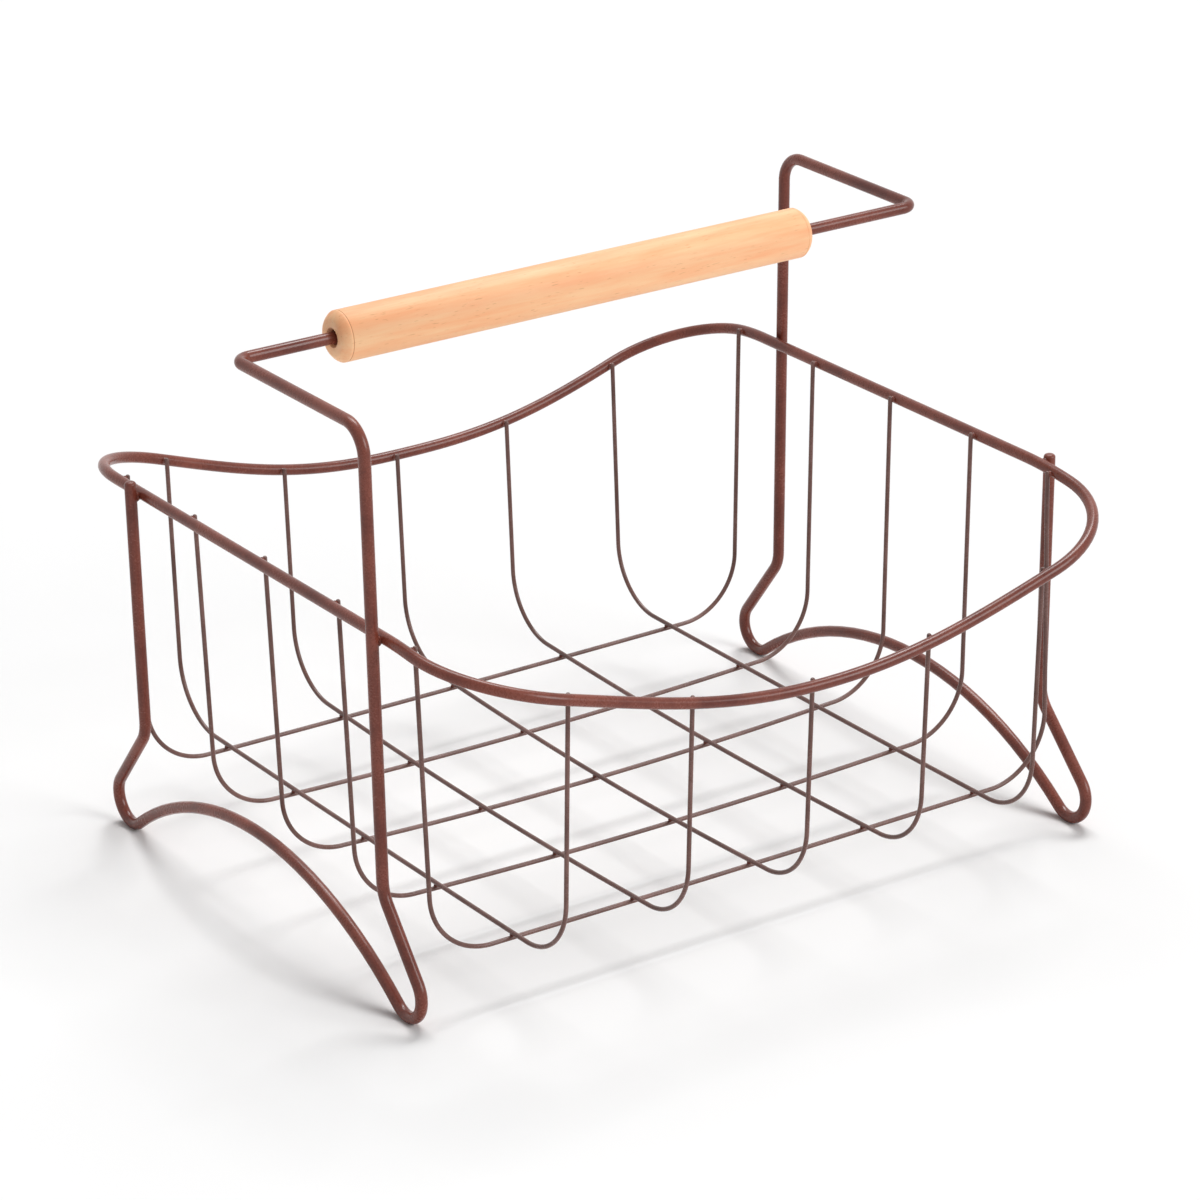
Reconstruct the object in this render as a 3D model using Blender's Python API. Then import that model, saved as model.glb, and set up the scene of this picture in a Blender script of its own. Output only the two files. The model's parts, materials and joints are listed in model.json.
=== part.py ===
"""Wire produce basket with a turned wooden grip, modelled at its real size in metres.

One thick wire is bent into both end frames and the handle bar. A second thick wire is the
rim, level over the ends and dipped along the sides. Two layers of thin U-shaped wires hang
from the rim and cross on the floor of the basket. The grip turns freely on the handle bar.
+X runs along the handle bar, +Z is up, and the feet stand on z = 0.
"""

import math

import bmesh
import bpy
from mathutils import Matrix, Vector

# Wire sizes
FRAME_WIRE = 0.0052  # diameter of the wire of the end frames and the handle bar
RIM_WIRE = 0.0050  # diameter of the rim
MESH_WIRE = 0.0020  # diameter of the thin wires
WELD_GAP = 0.0003  # space between two wires that a weld joins

# Rim
RIM_LENGTH = 0.3330  # along X, over the centre line
RIM_WIDTH = 0.3258  # along Y, over the centre line
RIM_CORNER = 0.0440  # corner radius in plan
RIM_HEIGHT = 0.1624  # centre line over the ends
RIM_DIP = 0.0398  # how far the lowest point of each side lies below the ends
FRONT_LOW = 0.0059  # the front's lowest point lies this far to the right of the middle
FRONT_RISE = 0.2161  # distance along the front from its lowest point to where it is level
FRONT_POWER = 1.06  # 1 is an even wave, more keeps the rim low for longer
BACK_LOW = 0.0079  # the same three for the back
BACK_RISE = 0.1990
BACK_POWER = 1.24

# Thin wires
MESH_COUNT = 5  # wires in each of the two layers
LENGTHWISE_PITCH = 0.0578  # spacing along Y of the wires that run along X
CROSSWISE_PITCH = 0.0598  # spacing along X of the wires that run along Y
FLOOR_LENGTH = 0.3160  # between the end walls at the floor, over wire centres
FLOOR_WIDTH = 0.3092  # between the side walls at the floor, over wire centres
FLOOR_HEIGHT = 0.0250  # where the two layers meet at the edge of the floor
FLOOR_SAG = 0.0033  # how far the middle of the floor hangs below its edge
FLOOR_BEND = 0.0295  # centre-line radius of the bends at the floor
MESH_TIP = 0.0019  # the thin wires' ends stand this far above the rim's centre line
RIGHT_TIP_SHIFT = 0.0020  # the right ends of the lengthwise wires are welded this far to the back
STRAY_TIP_SHIFT = 0.0070  # the same for the lengthwise wire nearest the front, which strays the most

# End frames
POST_SPACING = 0.1950  # between the two posts of one end
FRAME_SHIFT = -0.0012  # the posts and feet stand this far off the middle, towards the front
POST_LEAN = 0.0130  # outward run of the posts for each unit of height
LEFT_POST_TIP = 0.0068  # the left short post's end stands this far above the rim's centre line
RIGHT_POST_TIP = 0.0030  # the same for the right short post
KINK_HEIGHT = 0.0515  # where the posts turn out towards the feet
KINK_BEND = 0.0155
TALL_FOOT = 0.1128  # centre of the foot bend below a tall post, from the middle of the end
LEFT_SHORT_FOOT = 0.1150  # the same below the left short post
RIGHT_SHORT_FOOT = 0.1197  # the same below the right short post, which splays the most
FOOT_BEND = 0.0112
FOOT_FLAT = 0.0004  # depth of the flat where a foot rests
ARCH_HEIGHT = 0.0404  # centre line of the arch between the feet, at its crest

# Handle
HANDLE_HEIGHT = 0.2518  # centre line of the bar
ARM_BEND = 0.0125  # bend from the tall post to the arm
BAR_BEND = 0.0065  # bend from the arm to the bar
GRIP_LENGTH = 0.2382
GRIP_DIAMETER = 0.0220
GRIP_SHIFT = -0.0079  # the loose grip rests this far off the middle of the bar
GRIP_CLEARANCE = 0.0005  # between the bar and the bore, on the radius
GRIP_MOUTH = 0.0012  # chamfer at each mouth of the bore
GRIP_ROUND_LENGTH = 0.0045  # rounded end, along the grip
GRIP_ROUND_DEPTH = 0.0036  # rounded end, on the radius

# Facets
ARC_STEP = math.radians(15.0)
ARC_LENGTH = 0.0120
RIM_STEP = 0.0120
THICK_WIRE_SIDES = 12
THIN_WIRE_SIDES = 8
FLOOR_FACETS = 12
GRIP_SIDES = 32
GRIP_ROUND_FACETS = 4
SHARP_ANGLE = math.radians(40.0)
MERGE_DISTANCE = 1e-6
TIP_ROUNDING = ((0.55, 1.0), (0.16, 0.86), (0.0, 0.55))  # distance from the tip and radius, in wire radii

PAINT = {"name": "brown_paint", "color": (0.157, 0.056, 0.045, 1.0), "roughness": 0.38, "metallic": 0.25}
WOOD = {"name": "pale_wood", "color": (0.87, 0.56, 0.29, 1.0), "roughness": 0.5, "metallic": 0.0}

# Sizes that follow from those above
POST_X = RIM_LENGTH / 2 + RIM_WIRE / 2 + WELD_GAP + FRAME_WIRE / 2
MESH_INSET = RIM_WIRE / 2 + WELD_GAP + MESH_WIRE / 2
LAYER_STEP = (MESH_WIRE + WELD_GAP) / 2
SIDE_STRAIGHT = RIM_LENGTH / 2 - RIM_CORNER
END_STRAIGHT = RIM_WIDTH / 2 - RIM_CORNER
RIM_QUARTER = SIDE_STRAIGHT + RIM_CORNER * math.pi / 2 + END_STRAIGHT


def clear_scene():
    for obj in list(bpy.data.objects):
        bpy.data.objects.remove(obj, do_unlink=True)


def make_material(finish):
    material = bpy.data.materials.new(finish["name"])
    material.use_nodes = True
    shader = material.node_tree.nodes["Principled BSDF"]
    shader.inputs["Base Color"].default_value = finish["color"]
    shader.inputs["Roughness"].default_value = finish["roughness"]
    shader.inputs["Metallic"].default_value = finish["metallic"]
    return material


def arc(center, radius, start, end):
    """Points of an arc in a plane, both ends included."""
    turn = abs(end - start)
    steps = max(2, math.ceil(turn / ARC_STEP), math.ceil(turn * radius / ARC_LENGTH))
    angles = [start + (end - start) * i / steps for i in range(steps + 1)]
    return [(center[0] + radius * math.cos(a), center[1] + radius * math.sin(a)) for a in angles]


def fillet(before, corner, after, radius):
    """Points of the bend that rounds a corner of a wire's centre line."""
    back = (before - corner).normalized()
    ahead = (after - corner).normalized()
    half = back.angle(ahead) / 2
    start = corner + back * radius / math.tan(half)
    center = corner + (back + ahead).normalized() * radius / math.sin(half)
    turn = math.pi - 2 * half
    axis = ahead.cross(back).normalized()
    steps = max(2, math.ceil(turn / ARC_STEP))
    return [center + Matrix.Rotation(turn * i / steps, 3, axis) @ (start - center) for i in range(steps + 1)]


def tip_points(end, inward, diameter):
    """Rounded end of a cut wire, from the full section to the tip, as (point, radius share)."""
    return [(end + inward * distance * diameter / 2, share) for distance, share in TIP_ROUNDING]


def wire_object(name, points, diameter, sides, material, closed=False, rounded=False):
    """A wire along the points: a curve with a round bevel, closed or capped at both ends."""
    rows = [(point, 1.0) for point in points]
    if rounded:
        first = tip_points(points[0], (points[1] - points[0]).normalized(), diameter)
        last = tip_points(points[-1], (points[-2] - points[-1]).normalized(), diameter)
        rows = first[::-1] + rows[1:-1] + last
    curve = bpy.data.curves.new(name, "CURVE")
    curve.dimensions = "3D"
    curve.bevel_depth = diameter / 2
    curve.bevel_resolution = sides // 2 - 2
    curve.use_fill_caps = True
    spline = curve.splines.new("POLY")
    spline.use_cyclic_u = closed
    spline.points.add(len(rows) - 1)
    for spot, (point, share) in zip(spline.points, rows):
        spot.co = (*point, 1.0)
        spot.radius = share
    obj = bpy.data.objects.new(name, curve)
    bpy.context.scene.collection.objects.link(obj)
    curve.materials.append(material)
    return obj


def rim_height(run, front):
    """Height of the rim at a distance along it from the middle of a side, positive to the right."""
    if front:
        share = min(abs(run - FRONT_LOW) / FRONT_RISE, 1.0) ** FRONT_POWER
    else:
        share = min(abs(run - BACK_LOW) / BACK_RISE, 1.0) ** BACK_POWER
    return RIM_HEIGHT - RIM_DIP * (1 + math.cos(math.pi * share)) / 2


def rim_half(front):
    """Rim centre line round the front or the back, from the middle of the left end to that of the right."""
    count = math.ceil(RIM_QUARTER / RIM_STEP)
    points = []
    for i in range(-count, count + 1):
        run = RIM_QUARTER * i / count
        past = abs(run) - SIDE_STRAIGHT
        turn = min(max(past / RIM_CORNER, 0.0), math.pi / 2)
        x = min(abs(run), SIDE_STRAIGHT) + RIM_CORNER * math.sin(turn)
        y = -END_STRAIGHT - RIM_CORNER * math.cos(turn) + max(past - RIM_CORNER * math.pi / 2, 0.0)
        points.append(Vector((math.copysign(x, run), y if front else -y, rim_height(run, front))))
    return points


def make_rim(material):
    path = rim_half(True) + rim_half(False)[-2:0:-1]
    return wire_object("rim_wire", path, RIM_WIRE, THICK_WIRE_SIDES, material, closed=True)


def rim_contact(offset, straight, across):
    """Where a thin wire meets the inside of the rim, at an offset from the middle of that side.

    Returns the thin wire's distance from the basket's middle plane and the run along the rim
    from the middle of the side.
    """
    inner = RIM_CORNER - MESH_INSET
    turn = math.asin(max(abs(offset) - straight, 0.0) / inner)
    distance = across - RIM_CORNER + inner * math.cos(turn)
    return distance, min(abs(offset), straight) + RIM_CORNER * turn


def floor_sag(x, y):
    """Depth of the sagging floor below its edge."""
    across = x / (FLOOR_LENGTH / 2 - FLOOR_BEND)
    along = y / (FLOOR_WIDTH / 2 - FLOOR_BEND)
    return FLOOR_SAG * max(1 - across * across, 0.0) * max(1 - along * along, 0.0)


def mesh_wire_path(level, floor_half, top_half, tops, depth_at):
    """U-shaped path in its own plane, as (distance, height): down, across the floor and up."""
    middle = Vector((0.0, 0.0, level))
    sides = []
    for side, top in zip((-1, 1), tops):
        tip = Vector((side * top_half, 0.0, top))
        corner = Vector((side * floor_half, 0.0, level))
        sides.append([tip] + fillet(tip, corner, middle, FLOOR_BEND))
    floor_start = sides[0][-1].x
    floor_end = sides[1][-1].x
    floor = []
    for i in range(1, FLOOR_FACETS):
        x = floor_start + (floor_end - floor_start) * i / FLOOR_FACETS
        floor.append(Vector((x, 0.0, level - depth_at(x))))
    return [(p.x, p.z) for p in sides[0] + floor + sides[1][::-1]]


def make_lengthwise_wire(index, material):
    y = (index - (MESH_COUNT - 1) / 2) * LENGTHWISE_PITCH
    top_half, run_from_end = rim_contact(y, END_STRAIGHT, RIM_LENGTH / 2)
    run = RIM_QUARTER - run_from_end
    tops = [rim_height(end, y < 0) + MESH_TIP for end in (-run, run)]
    path = mesh_wire_path(
        FLOOR_HEIGHT - LAYER_STEP, FLOOR_LENGTH / 2, top_half, tops, lambda x: floor_sag(x, y)
    )
    points = [Vector((x, y, z)) for x, z in path]
    points[-1].y += RIGHT_TIP_SHIFT if index else STRAY_TIP_SHIFT
    return wire_object(f"lengthwise_wire_{index + 1}", points, MESH_WIRE, THIN_WIRE_SIDES, material)


def make_crosswise_wire(index, material):
    x = (index - (MESH_COUNT - 1) / 2) * CROSSWISE_PITCH
    top_half, run = rim_contact(x, SIDE_STRAIGHT, RIM_WIDTH / 2)
    tops = [rim_height(math.copysign(run, x), front) + MESH_TIP for front in (True, False)]
    path = mesh_wire_path(
        FLOOR_HEIGHT + LAYER_STEP, FLOOR_WIDTH / 2, top_half, tops, lambda y: floor_sag(x, y)
    )
    points = [Vector((x, y, z)) for y, z in path]
    return wire_object(f"crosswise_wire_{index + 1}", points, MESH_WIRE, THIN_WIRE_SIDES, material)


def leg_profile(post_y, foot_y, arch_half):
    """(y, z) from a post down over its kink and round the foot to the crest of the arch.

    The feet of one end stand arch_half to each side of the crest of the arch.
    """
    foot = Vector((foot_y, FRAME_WIRE / 2 - FOOT_FLAT + FOOT_BEND))
    drop = foot.y - ARCH_HEIGHT
    # The arch is a circle that touches both foot bends from outside.
    arch_radius = (arch_half**2 + drop**2 - FOOT_BEND**2) / (2 * (FOOT_BEND - drop))
    arch_center = (foot_y - arch_half, ARCH_HEIGHT - arch_radius)
    reach = math.atan2(arch_half, arch_radius + drop)
    arch = arc(arch_center, arch_radius, math.pi / 2 - reach, math.pi / 2)
    # The leg is the straight line from the kink that touches the outside of the foot bend.
    kink = Vector((post_y, KINK_HEIGHT))
    to_foot = foot - kink
    heading = math.atan2(to_foot.y, to_foot.x) + math.asin(FOOT_BEND / to_foot.length)
    turn = heading + math.pi / 2
    kink_center = (kink.x + KINK_BEND, kink.y + KINK_BEND * math.tan(turn / 2))
    kink_bend = arc(kink_center, KINK_BEND, math.pi, math.pi + turn)
    foot_end = math.atan2(arch_center[1] - foot.y, arch_center[0] - foot.x)
    foot_bend = arc(foot, FOOT_BEND, heading + math.pi / 2, foot_end)
    return kink_bend + foot_bend + arch[1:]


def frame_half(short_foot, tip, shift):
    """One half of the thick wire, placed at the left: short post, feet, tall post, arm and bar."""

    def on_end(y, z):
        return Vector((-(POST_X + POST_LEAN * (z - RIM_HEIGHT)), y, z))

    post_y = POST_SPACING / 2
    arch_half = (short_foot + TALL_FOOT) / 2
    down = [on_end(post_y + shift, RIM_HEIGHT + tip)]
    down += [on_end(y + shift, z) for y, z in leg_profile(post_y, short_foot, arch_half)]
    up = [on_end(shift - y, z) for y, z in leg_profile(post_y, TALL_FOOT, arch_half)[-2::-1]]
    post_top = on_end(shift - post_y, HANDLE_HEIGHT)
    bar_corner = on_end(0.0, HANDLE_HEIGHT)
    arm = fillet(up[-1], post_top, bar_corner, ARM_BEND)
    bar = fillet(post_top, bar_corner, Vector((0.0, 0.0, HANDLE_HEIGHT)), BAR_BEND)
    return down + up + arm + bar


def make_frame(material):
    """The thick wire, from the left short post by both end frames and the bar to the right one."""
    left = frame_half(LEFT_SHORT_FOOT, LEFT_POST_TIP, FRAME_SHIFT)
    right_turned = frame_half(RIGHT_SHORT_FOOT, RIGHT_POST_TIP, -FRAME_SHIFT)
    right = [Vector((-p.x, -p.y, p.z)) for p in right_turned]
    path = left + right[::-1]
    wire = wire_object("frame_curve", path, FRAME_WIRE, THICK_WIRE_SIDES, material, rounded=True)
    graph = bpy.context.evaluated_depsgraph_get()
    frame_mesh = bpy.data.meshes.new_from_object(wire.evaluated_get(graph))
    bpy.data.objects.remove(wire, do_unlink=True)
    frame_mesh.name = "frame_wire"
    frame = bpy.data.objects.new("frame_wire", frame_mesh)
    bpy.context.scene.collection.objects.link(frame)
    weld_and_flatten_feet(frame_mesh)
    smooth(frame_mesh)
    return frame


def weld_and_flatten_feet(mesh):
    """Joins the caps to the tube and cuts the feet level at z = 0."""
    bm = bmesh.new()
    bm.from_mesh(mesh)
    bmesh.ops.remove_doubles(bm, verts=bm.verts, dist=MERGE_DISTANCE)
    everything = bm.verts[:] + bm.edges[:] + bm.faces[:]
    cut = bmesh.ops.bisect_plane(
        bm, geom=everything, plane_co=(0, 0, 0), plane_no=(0, 0, 1), clear_inner=True
    )
    rims = [e for e in cut["geom_cut"] if isinstance(e, bmesh.types.BMEdge)]
    bmesh.ops.holes_fill(bm, edges=rims)
    bmesh.ops.recalc_face_normals(bm, faces=bm.faces)
    bm.to_mesh(mesh)
    bm.free()


def smooth(mesh):
    mesh.shade_smooth()
    mesh.set_sharp_from_angle(angle=SHARP_ANGLE)


def grip_profile():
    """Closed outline of one half of the grip's lengthwise section, as (along, radius)."""
    half = GRIP_LENGTH / 2
    radius = GRIP_DIAMETER / 2
    bore = FRAME_WIRE / 2 + GRIP_CLEARANCE
    right_end = []
    for i in range(GRIP_ROUND_FACETS + 1):
        angle = math.pi / 2 * i / GRIP_ROUND_FACETS
        along = half - GRIP_ROUND_LENGTH * (1 - math.cos(angle))
        right_end.append((along, radius - GRIP_ROUND_DEPTH * (1 - math.sin(angle))))
    mouth = [(half - GRIP_MOUTH, bore), (half, bore + GRIP_MOUTH)]
    right = mouth + right_end
    left = [(-along, r) for along, r in reversed(right)]
    return right + left


def make_grip(material):
    """The turned wooden grip, with its origin on the bar's axis."""
    bm = bmesh.new()
    corners = [bm.verts.new((along, 0.0, radius)) for along, radius in grip_profile()]
    edges = [bm.edges.new((a, b)) for a, b in zip(corners, corners[1:] + corners[:1])]
    bmesh.ops.spin(
        bm,
        geom=corners + edges,
        cent=(0, 0, 0),
        axis=(1, 0, 0),
        angle=2 * math.pi,
        steps=GRIP_SIDES,
        use_merge=True,
    )
    bmesh.ops.remove_doubles(bm, verts=bm.verts, dist=MERGE_DISTANCE)
    bmesh.ops.recalc_face_normals(bm, faces=bm.faces)
    mesh = bpy.data.meshes.new("handle_grip")
    bm.to_mesh(mesh)
    bm.free()
    smooth(mesh)
    mesh.materials.append(material)
    grip = bpy.data.objects.new("handle_grip", mesh)
    grip.location = (GRIP_SHIFT, 0.0, HANDLE_HEIGHT)
    bpy.context.scene.collection.objects.link(grip)
    return grip


def main():
    clear_scene()
    paint = make_material(PAINT)
    make_frame(paint)
    make_rim(paint)
    for index in range(MESH_COUNT):
        make_lengthwise_wire(index, paint)
        make_crosswise_wire(index, paint)
    make_grip(make_material(WOOD))


main()
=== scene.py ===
"""Looks of a wire produce basket with a turned wooden grip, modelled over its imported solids.

Each piece stands where its solid stands, in metres, with +X along the handle bar and the feet on
z = 0. The operators are listed in the sidebar panel and run in order by main().
"""

import json
import math
from collections import namedtuple

import bpy
from bpy.props import FloatProperty, FloatVectorProperty, PointerProperty
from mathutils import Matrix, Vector


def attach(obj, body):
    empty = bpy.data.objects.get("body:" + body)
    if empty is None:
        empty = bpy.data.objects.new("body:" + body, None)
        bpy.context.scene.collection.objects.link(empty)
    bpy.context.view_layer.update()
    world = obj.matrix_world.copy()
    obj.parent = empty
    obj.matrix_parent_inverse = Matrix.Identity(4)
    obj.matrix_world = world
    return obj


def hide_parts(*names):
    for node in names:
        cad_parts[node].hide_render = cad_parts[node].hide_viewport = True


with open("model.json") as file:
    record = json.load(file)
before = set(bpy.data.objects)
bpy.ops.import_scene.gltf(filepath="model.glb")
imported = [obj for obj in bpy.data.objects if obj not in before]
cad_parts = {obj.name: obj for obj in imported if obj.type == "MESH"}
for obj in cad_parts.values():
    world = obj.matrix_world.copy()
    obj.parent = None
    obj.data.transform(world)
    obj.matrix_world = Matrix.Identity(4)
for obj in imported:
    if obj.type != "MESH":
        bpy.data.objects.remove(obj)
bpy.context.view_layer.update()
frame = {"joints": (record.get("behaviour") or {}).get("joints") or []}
BAR_HEIGHT = frame["joints"][0]["pos_m"][2]

bl_info = {
    "name": "Wire Produce Basket",
    "version": (1, 0, 0),
    "blender": (4, 5, 0),
    "location": "View3D > Sidebar > Basket",
    "description": "Bends, welds, paints and lights a wire produce basket with a wooden grip",
    "category": "Object",
}

X_AXIS, Y_AXIS, Z_AXIS = Vector((1, 0, 0)), Vector((0, 1, 0)), Vector((0, 0, 1))
WIRES_PER_LAYER = 5

# How finely the pieces are shaped. Lengths are in metres.
THICK_SIDES = 32  # facets round the thick wires
THIN_SIDES = 16  # facets round the thin wires
GRIP_SIDES = 96
BEAD_SIDES = 16
BEND_STEP = math.radians(3.0)  # turn of one step of a bend
RIM_STEP = 0.004  # spacing of the points along the rim
FLOOR_STEPS = 24  # straight steps of a thin wire across the sagging floor
GRIP_END_STEPS = 10  # steps over the chamfered end of the grip
TIP_STEPS = 4  # steps over the rounded edge of a cut end
SHARP_ANGLE = math.radians(38.0)  # edges with a larger turn stay sharp
MERGE_DISTANCE = 1e-6
POINT_SIZE = 0.001  # side of the small plane that is merged into one point

# Small forms, as shares of the sizes in the settings.
THICK_TIP = 0.28  # rounding of a thick wire's cut end, in wire diameters
THIN_TIP = 0.42  # the same for the thin wires
MOUTH_BEND = (0.25, 0.6)  # where the mouth of the bore bends, in from the end and out from the bore
MOUTH_SHADE = 0.8  # how far up the mouth the painted shade of the bore reaches, in chamfer sizes
BEAD_FOOT = 0.45  # first ring of a weld bead, in bead radii
# Rise of each further ring, in bead heights, and its size over the ring below it.
BEAD_RINGS = ((0.14, 1.62), (0.22, 1.24), (0.28, 1.107), (0.22, 0.80645), (0.14, 0.6173))

# Finishes. The wood's scales are along the grip and across it.
SPECKLE_SHARE = 0.5  # weight of the fine speckle beside the slow patches of the paint
FIBRE_SHARE = 0.4  # weight of the fibres beside the growth rings of the wood
RING_SCALE = (20.0, 190.0, 190.0)
FIBRE_SCALE = (30.0, 1300.0, 1300.0)
PORE_SCALE = (210.0, 1700.0, 1700.0)
WOOD_GLOSS_CHANGE = 0.06  # how far the wood's roughness varies either way
RELIEF_DEPTH = 0.0002  # full depth of the paint's and the wood's relief
PAINT_SHINE = {
    "Specular IOR Level": 0.36,
    "Sheen Weight": 0.1,
    "Sheen Roughness": 0.25,
    "Sheen Tint": (1.0, 0.86, 0.84, 1.0),
}

SENSOR_WIDTH = 36.0  # of the camera, in millimetres
VIEW_DEPTH = 200.0  # how far the camera sees

Line = namedtuple("Line", "start end")
Bend = namedtuple("Bend", "center axis angle")
# Bends of a leg in the plane of its end: the straight run between them leaves the kink and meets the foot.
Leg = namedtuple("Leg", "kink turn leaves meets foot swing arch reach")


def length(name, description, default):
    return FloatProperty(
        name=name, description=description, default=default, precision=5, subtype="DISTANCE", unit="LENGTH"
    )


def number(name, description, default):
    return FloatProperty(name=name, description=description, default=default, precision=4)


def spread_angle(name, description, degrees):
    return FloatProperty(
        name=name, description=description, default=math.radians(degrees), subtype="ANGLE", unit="ROTATION"
    )


def rotation(name, description, degrees):
    return FloatVectorProperty(
        name=name, description=description, default=[math.radians(a) for a in degrees],
        precision=6, subtype="EULER", unit="ROTATION",
    )


def colour(name, description, default):
    return FloatVectorProperty(
        name=name, description=description, default=default, size=3, min=0.0, max=1.0, subtype="COLOR"
    )


class BasketWires(bpy.types.PropertyGroup):
    """Wire stock"""

    frame_wire: length("Frame wire", "Diameter of the wire of the end frames and the handle bar", 0.0052)
    rim_wire: length("Rim wire", "Diameter of the rim", 0.0050)
    thin_wire: length("Thin wire", "Diameter of the wires of the walls and the floor", 0.0020)
    weld_gap: length("Weld gap", "Space between two wires that a weld fills", 0.0003)


class BasketRim(bpy.types.PropertyGroup):
    """Rim, over the centre line of its wire"""

    length: length("Length", "Size along the handle bar", 0.3330)
    width: length("Width", "Size across the handle bar", 0.3258)
    corner: length("Corner", "Corner radius seen from above", 0.0440)
    height: length("Height", "Height over the two ends", 0.1624)
    dip: length("Dip", "How far the lowest point of a side lies below the ends", 0.0398)
    front_low: length("Front low", "How far the front's lowest point lies to the right of the middle", 0.0059)
    front_rise: length("Front rise", "Run along the front from its lowest point to where it is level", 0.2161)
    front_power: number("Front shape", "1 is an even wave, more keeps the rim low for longer", 1.06)
    back_low: length("Back low", "How far the back's lowest point lies to the right of the middle", 0.0079)
    back_rise: length("Back rise", "Run along the back from its lowest point to where it is level", 0.1990)
    back_power: number("Back shape", "1 is an even wave, more keeps the rim low for longer", 1.24)


class BasketMesh(bpy.types.PropertyGroup):
    """Thin wires of the walls and the floor"""

    lengthwise_pitch: length("Lengthwise pitch", "Spacing of the wires that run along the bar", 0.0578)
    crosswise_pitch: length("Crosswise pitch", "Spacing of the wires that run across the bar", 0.0598)
    floor_length: length("Floor length", "Between the end walls at the floor", 0.3160)
    floor_width: length("Floor width", "Between the side walls at the floor", 0.3092)
    floor_height: length("Floor height", "Where the two layers meet at the edge of the floor", 0.0250)
    floor_sag: length("Floor sag", "How far the middle of the floor hangs below its edge", 0.0033)
    floor_bend: length("Floor bend", "Radius of the bends at the floor", 0.0295)
    tip: length("Tip", "How far the wires' ends stand above the rim's centre line", 0.0019)
    right_shift: length("Right shift", "How far to the back the lengthwise wires' right ends sit", 0.0020)
    stray_shift: length("Stray shift", "The same for the lengthwise wire nearest the front", 0.0070)


class BasketWelds(bpy.types.PropertyGroup):
    """Beads of weld metal between the wires"""

    floor_radius: length("Floor bead", "Radius of the beads where thin wires cross", 0.00125)
    floor_height: length("Floor bead height", "Height of those beads from wire to wire", 0.0011)
    rim_radius: length("Rim bead", "Radius of the beads between the thin wires and the rim", 0.0015)
    rim_height: length("Rim bead height", "Height of those beads from wire to rim", 0.0020)
    rim_drop: length("Rim bead drop", "How far below the wires' tips those beads sit", 0.0017)
    post_radius: length("Post bead", "Radius of the beads between the posts and the rim", 0.0023)
    post_height: length("Post bead height", "Height of those beads from post to rim", 0.0022)
    post_drop: length("Post bead drop", "How far below the rim's centre line those beads sit", 0.0006)


class BasketEnds(bpy.types.PropertyGroup):
    """End frames"""

    post_spacing: length("Post spacing", "Between the two posts of one end", 0.1950)
    post_lean: number("Post lean", "Outward run of the posts for each unit of height", 0.0130)
    shift: length("Shift", "How far to the back of the middle the posts and feet stand", -0.0012)
    left_tip: length("Left tip", "How far the left short post stands above the rim's centre line", 0.0068)
    right_tip: length("Right tip", "The same for the right short post", 0.0030)
    kink_height: length("Kink height", "Where the posts turn out towards the feet", 0.0515)
    kink_bend: length("Kink bend", "Radius of that turn", 0.0155)
    tall_foot: length("Tall post foot", "From the middle of the end to the foot below a tall post", 0.1128)
    left_foot: length("Left short post foot", "The same below the left short post", 0.1150)
    right_foot: length("Right short post foot", "The same below the right short post", 0.1197)
    foot_bend: length("Foot bend", "Radius of a foot", 0.0112)
    foot_flat: length("Foot flat", "Depth of the flat that a foot rests on", 0.0004)
    arch_height: length("Arch height", "Height of the crest between the feet", 0.0404)


class BasketHandle(bpy.types.PropertyGroup):
    """Handle bar and grip"""

    height: length("Height", "Height of the bar", BAR_HEIGHT)
    arm_bend: length("Arm bend", "Radius of the bend from a tall post to its arm", 0.0125)
    bar_bend: length("Bar bend", "Radius of the bend from an arm to the bar", 0.0065)
    grip_length: length("Grip length", "Length of the wooden grip", 0.2382)
    grip_diameter: length("Grip diameter", "Diameter of the wooden grip", 0.0220)
    grip_shift: length("Grip shift", "Where the loose grip rests, from the middle of the bar", -0.0079)
    grip_clearance: length("Grip clearance", "Between the bar and the bore", 0.0005)
    grip_mouth: length("Grip mouth", "Chamfer at the mouths of the bore", 0.0012)
    end_length: length("End length", "Chamfered end of the grip, along it", 0.0034)
    end_depth: length("End depth", "Chamfered end of the grip, on its radius", 0.0033)
    end_power: number("End shape", "1 is a round end, 2 is a flat chamfer", 1.5)
    line_place: length("Tool line", "From the grip's end to the fine line that the turning tool left", 0.0039)
    line_depth: length("Tool line depth", "Depth of that line", 0.00012)
    line_width: length("Tool line width", "Width of that line", 0.0004)


class BasketFinish(bpy.types.PropertyGroup):
    """Colours and gloss"""

    paint: colour("Paint", "Brown paint where it is thickest", (0.113, 0.021, 0.012))
    paint_thin: colour("Thin paint", "Brown paint where it is thinner", (0.236, 0.060, 0.037))
    fine_paint: colour("Thin wires' paint", "Greyer paint of the thin wires", (0.105, 0.046, 0.037))
    fine_paint_thin: colour("Thin wires' thin paint", "The same where it is thinner", (0.205, 0.104, 0.088))
    paint_gloss: number("Paint roughness", "Mean roughness of the satin paint", 0.26)
    wood: colour("Wood", "Pale wood between its growth rings", (0.985, 0.590, 0.322))
    wood_ring: colour("Wood ring", "Growth rings and fibres", (0.960, 0.430, 0.205))
    wood_pore: colour("Wood pore", "Short open pores", (0.600, 0.250, 0.090))
    # Painted shade: the bore, its mouths and the left tool line are coloured darker, standing in for shade in
    # the bore's recess and the line's groove.
    bore_wood: colour("Bore wood", "Drilled bore, its mouths and the left tool line", (0.520, 0.220, 0.110))


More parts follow.
